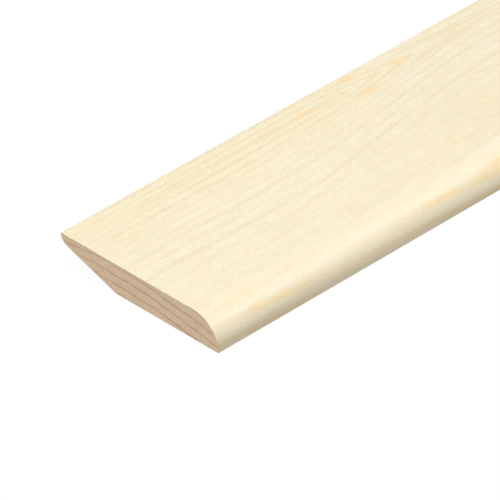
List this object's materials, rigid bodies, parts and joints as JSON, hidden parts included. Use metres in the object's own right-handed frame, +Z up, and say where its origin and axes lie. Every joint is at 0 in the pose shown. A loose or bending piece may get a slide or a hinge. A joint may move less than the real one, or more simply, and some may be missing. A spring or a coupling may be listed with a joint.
{
  "type": "skirting board length",
  "caption": "Straight softwood skirting board length, quarter-rounded on one long edge and bevelled on the other, for trimming the foot of a wall.",
  "frame": {"origin": "middle of the rectangle the board covers on the level that its lower face rests on", "axes": "+X along the board's length, +Y across it from the quarter-rounded long edge to the thin nose, +Z up out of the upper face"},
  "size_m": [2.4, 0.094, 0.015],
  "materials": {
    "planed_softwood": "smooth planed, unfinished"
  },
  "bodies": {
    "root": {"skirting_board": "planed_softwood"}
  },
  "joints": []
}
